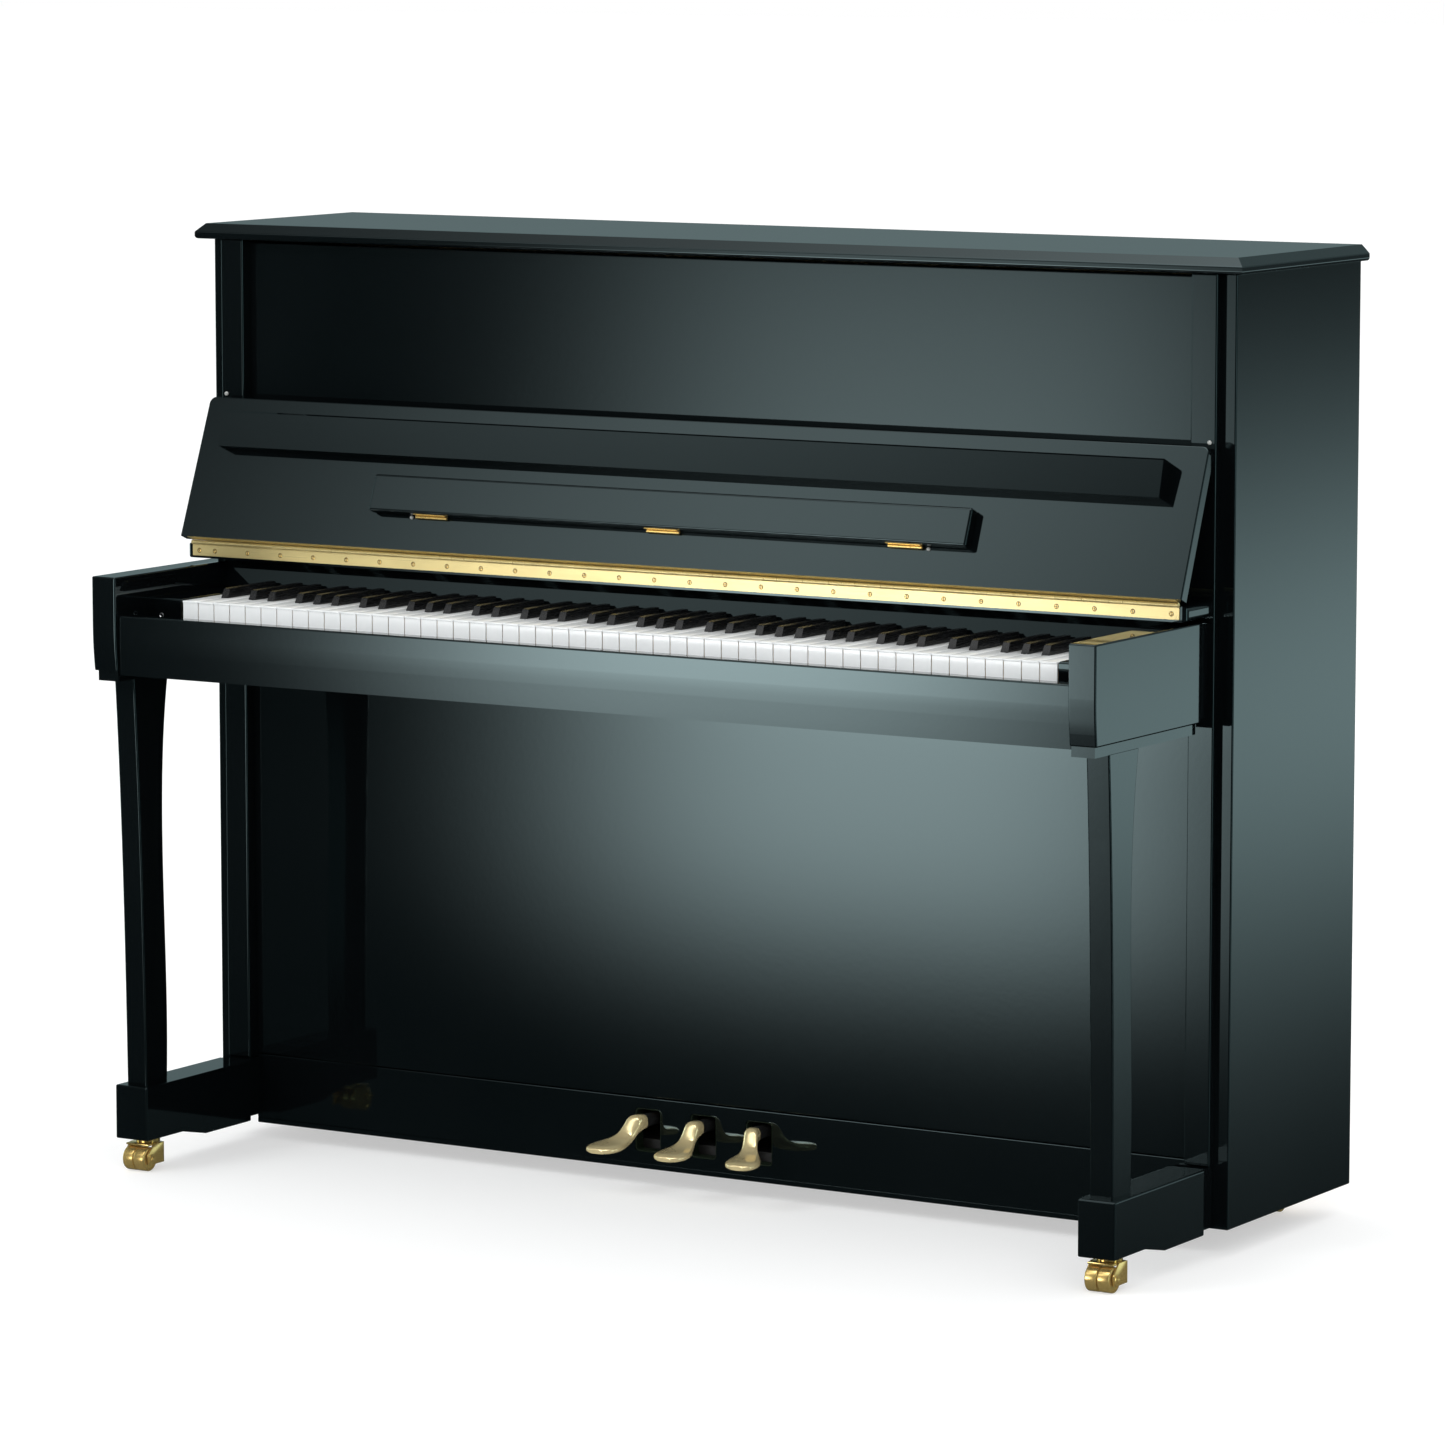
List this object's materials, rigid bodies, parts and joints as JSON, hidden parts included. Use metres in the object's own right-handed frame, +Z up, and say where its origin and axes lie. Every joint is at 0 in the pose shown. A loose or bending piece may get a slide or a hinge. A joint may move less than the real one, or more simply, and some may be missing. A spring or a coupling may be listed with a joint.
{
  "type": "upright piano",
  "caption": "Upright piano in polished black case with folding fallboard and music desk, full keyboard, hammer action, strung iron-framed back, brass pedals and casters.",
  "frame": {"origin": "on the floor under the middle of the whole piano", "axes": "+X towards the treble end, -Y towards the player, +Z up"},
  "size_m": [1.478, 0.622, 1.1732],
  "materials": {
    "black_polish": "black polyester lacquer over wood, polished to a mirror shine",
    "brass": "polished brass",
    "white_keys": "white acrylic key tops on wooden sticks",
    "black_keys": "black satin key tops on wooden sticks",
    "bare_wood": "bare spruce and beech",
    "hammer_felt": "pressed wool felt on hornbeam",
    "gold_plate": "cast iron in bronze-gold paint",
    "steel": "plain steel"
  },
  "bodies": {
    "case": {"action_frame": "steel", "arm_left": "black_polish", "arm_right": "black_polish", "back_frame": "bare_wood", "bottom_board": "bare_wood", "caster_mounts": "brass", "fallboard_hinge_rail_leaf": "brass", "hinge_rail": "black_polish", "iron_plate": "gold_plate", "key_bed": "bare_wood", "key_blocks": "black_polish", "key_frame": "bare_wood", "key_slip": "black_polish", "knee_panel": "black_polish", "leg_left": "black_polish", "leg_right": "black_polish", "lid_hinges_case": "brass", "nameboard": "black_polish", "pedal_brackets": "steel", "side_panel_left": "black_polish", "side_panel_right": "black_polish", "soundboard": "bare_wood", "stiles": "black_polish", "strings_and_tuning_pins": "steel", "toe_left": "black_polish", "toe_rail": "black_polish", "toe_right": "black_polish", "upper_panel": "black_polish"},
    "lid": {"lid": "black_polish", "lid_hinges_lid": "brass"},
    "fallboard": {"fallboard": "black_polish", "fallboard_lip": "black_polish", "fallboard_hinge_board_leaf": "brass", "desk_hinges": "brass"},
    "music_desk": {"music_desk": "black_polish", "desk_hinge_leaves": "brass"},
    "naturals_a": {"naturals_a": "white_keys"},
    "hammers_naturals_a": {"hammers_naturals_a": "hammer_felt"},
    "naturals_b": {"naturals_b": "white_keys"},
    "hammers_naturals_b": {"hammers_naturals_b": "hammer_felt"},
    "naturals_c": {"naturals_c": "white_keys"},
    "hammers_naturals_c": {"hammers_naturals_c": "hammer_felt"},
    "sharps_a": {"sharps_a": "black_keys"},
    "hammers_sharps_a": {"hammers_sharps_a": "hammer_felt"},
    "sharps_b": {"sharps_b": "black_keys"},
    "hammers_sharps_b": {"hammers_sharps_b": "hammer_felt"},
    "dampers": {"dampers": "hammer_felt"},
    "celeste_rail": {"celeste_rail": "hammer_felt"},
    "pedal_left": {"pedal_left": "brass"},
    "pedal_rod_left": {"pedal_rod_left": "bare_wood"},
    "pedal_middle": {"pedal_middle": "brass"},
    "pedal_rod_middle": {"pedal_rod_middle": "bare_wood"},
    "pedal_right": {"pedal_right": "brass"},
    "pedal_rod_right": {"pedal_rod_right": "bare_wood"},
    "front_caster_fork_left": {"front_caster_fork_left": "brass"},
    "front_caster_wheels_left": {"front_caster_wheels_left": "brass"},
    "rear_caster_wheels_left": {"rear_caster_wheels_left": "brass"},
    "front_caster_fork_right": {"front_caster_fork_right": "brass"},
    "front_caster_wheels_right": {"front_caster_wheels_right": "brass"},
    "rear_caster_wheels_right": {"rear_caster_wheels_right": "brass"}
  },
  "joints": [
    {"name": "lid_hinge", "type": "hinge", "parent": "case", "child": "lid", "pos_m": [0, 0.3026, 1.15385], "axis": [-1, 0, 0], "range_deg": [0, 100]},
    {"name": "fallboard_hinge", "type": "hinge", "parent": "case", "child": "fallboard", "pos_m": [0, -0.104, 0.7775], "axis": [1, 0, 0], "range_deg": [0, 111.7]},
    {"name": "music_desk_hinge", "type": "hinge", "parent": "fallboard", "child": "music_desk", "pos_m": [0, -0.10345, 0.82593], "axis": [-1, 0, 0], "range_deg": [-90, 0]},
    {"name": "naturals_a_press", "type": "hinge", "parent": "case", "child": "naturals_a", "pos_m": [0, -0.016, 0.697], "axis": [1, 0, 0], "range_deg": [0, 2.55], "stiffness_Nm_per_rad": 60, "springref_deg": -2.86},
    {"name": "naturals_b_press", "type": "hinge", "parent": "case", "child": "naturals_b", "pos_m": [0, -0.016, 0.697], "axis": [1, 0, 0], "range_deg": [0, 2.55], "stiffness_Nm_per_rad": 60, "springref_deg": -2.86},
    {"name": "naturals_c_press", "type": "hinge", "parent": "case", "child": "naturals_c", "pos_m": [0, -0.016, 0.697], "axis": [1, 0, 0], "range_deg": [0, 2.55], "stiffness_Nm_per_rad": 60, "springref_deg": -2.86},
    {"name": "sharps_a_press", "type": "hinge", "parent": "case", "child": "sharps_a", "pos_m": [0, -0.016, 0.697], "axis": [1, 0, 0], "range_deg": [0, 2.55], "stiffness_Nm_per_rad": 60, "springref_deg": -2.86},
    {"name": "sharps_b_press", "type": "hinge", "parent": "case", "child": "sharps_b", "pos_m": [0, -0.016, 0.697], "axis": [1, 0, 0], "range_deg": [0, 2.55], "stiffness_Nm_per_rad": 60, "springref_deg": -2.86},
    {"name": "hammers_naturals_a_throw", "type": "hinge", "parent": "case", "child": "hammers_naturals_a", "pos_m": [0, 0.14, 0.82], "axis": [-1, 0, 0], "range_deg": [0, 19]},
    {"name": "hammers_naturals_b_throw", "type": "hinge", "parent": "case", "child": "hammers_naturals_b", "pos_m": [0, 0.14, 0.82], "axis": [-1, 0, 0], "range_deg": [0, 19]},
    {"name": "hammers_naturals_c_throw", "type": "hinge", "parent": "case", "child": "hammers_naturals_c", "pos_m": [0, 0.14, 0.82], "axis": [-1, 0, 0], "range_deg": [0, 19]},
    {"name": "hammers_sharps_a_throw", "type": "hinge", "parent": "case", "child": "hammers_sharps_a", "pos_m": [0, 0.14, 0.82], "axis": [-1, 0, 0], "range_deg": [0, 19]},
    {"name": "hammers_sharps_b_throw", "type": "hinge", "parent": "case", "child": "hammers_sharps_b", "pos_m": [0, 0.14, 0.82], "axis": [-1, 0, 0], "range_deg": [0, 19]},
    {"name": "pedal_left_press", "type": "hinge", "parent": "case", "child": "pedal_left", "pos_m": [-0.08, 0.07, 0.085], "axis": [1, 0, 0], "range_deg": [0, 5.5], "stiffness_Nm_per_rad": 80, "springref_deg": -5.73},
    {"name": "pedal_middle_press", "type": "hinge", "parent": "case", "child": "pedal_middle", "pos_m": [0, 0.07, 0.085], "axis": [1, 0, 0], "range_deg": [0, 5.5], "stiffness_Nm_per_rad": 80, "springref_deg": -5.73},
    {"name": "pedal_right_press", "type": "hinge", "parent": "case", "child": "pedal_right", "pos_m": [0.08, 0.07, 0.085], "axis": [1, 0, 0], "range_deg": [0, 5.5], "stiffness_Nm_per_rad": 80, "springref_deg": -5.73},
    {"name": "pedal_rod_left_lift", "type": "slide", "parent": "case", "child": "pedal_rod_left", "axis": [0, 0, 1], "range_m": [0, 0.0085]},
    {"name": "pedal_rod_middle_lift", "type": "slide", "parent": "case", "child": "pedal_rod_middle", "axis": [0, 0, 1], "range_m": [0, 0.0085]},
    {"name": "pedal_rod_right_lift", "type": "slide", "parent": "case", "child": "pedal_rod_right", "axis": [0, 0, 1], "range_m": [0, 0.0085]},
    {"name": "damper_lift", "type": "hinge", "parent": "case", "child": "dampers", "pos_m": [0, 0.172, 0.8], "axis": [1, 0, 0], "range_deg": [0, 2.8]},
    {"name": "celeste_drop", "type": "slide", "parent": "case", "child": "celeste_rail", "axis": [0, 0, -1], "range_m": [0, 0.041]},
    {"name": "front_caster_swivel_left", "type": "hinge", "parent": "case", "child": "front_caster_fork_left", "pos_m": [-0.682, -0.232, 0.0343], "axis": [0, 0, 1], "continuous": true},
    {"name": "front_caster_roll_left", "type": "hinge", "parent": "front_caster_fork_left", "child": "front_caster_wheels_left", "pos_m": [-0.682, -0.25, 0.0152], "axis": [1, 0, 0], "continuous": true},
    {"name": "rear_caster_roll_left", "type": "hinge", "parent": "case", "child": "rear_caster_wheels_left", "pos_m": [-0.64, 0.262, 0.0152], "axis": [1, 0, 0], "continuous": true},
    {"name": "front_caster_swivel_right", "type": "hinge", "parent": "case", "child": "front_caster_fork_right", "pos_m": [0.682, -0.232, 0.0343], "axis": [0, 0, 1], "continuous": true},
    {"name": "front_caster_roll_right", "type": "hinge", "parent": "front_caster_fork_right", "child": "front_caster_wheels_right", "pos_m": [0.682, -0.25, 0.0152], "axis": [1, 0, 0], "continuous": true},
    {"name": "rear_caster_roll_right", "type": "hinge", "parent": "case", "child": "rear_caster_wheels_right", "pos_m": [0.64, 0.262, 0.0152], "axis": [1, 0, 0], "continuous": true}
  ],
  "couplings": [
    {"joint": "hammers_naturals_a_throw", "follows": "naturals_a_press", "ratio": 7.45},
    {"joint": "hammers_naturals_b_throw", "follows": "naturals_b_press", "ratio": 7.45},
    {"joint": "hammers_naturals_c_throw", "follows": "naturals_c_press", "ratio": 7.45},
    {"joint": "hammers_sharps_a_throw", "follows": "sharps_a_press", "ratio": 7.45},
    {"joint": "hammers_sharps_b_throw", "follows": "sharps_b_press", "ratio": 7.45},
    {"joint": "pedal_rod_left_lift", "follows": "pedal_left_press", "m_per_rad": 0.086},
    {"joint": "pedal_rod_middle_lift", "follows": "pedal_middle_press", "m_per_rad": 0.086},
    {"joint": "pedal_rod_right_lift", "follows": "pedal_right_press", "m_per_rad": 0.086},
    {"joint": "damper_lift", "follows": "pedal_right_press", "ratio": 0.5},
    {"joint": "celeste_drop", "follows": "pedal_middle_press", "m_per_rad": 0.425}
  ]
}
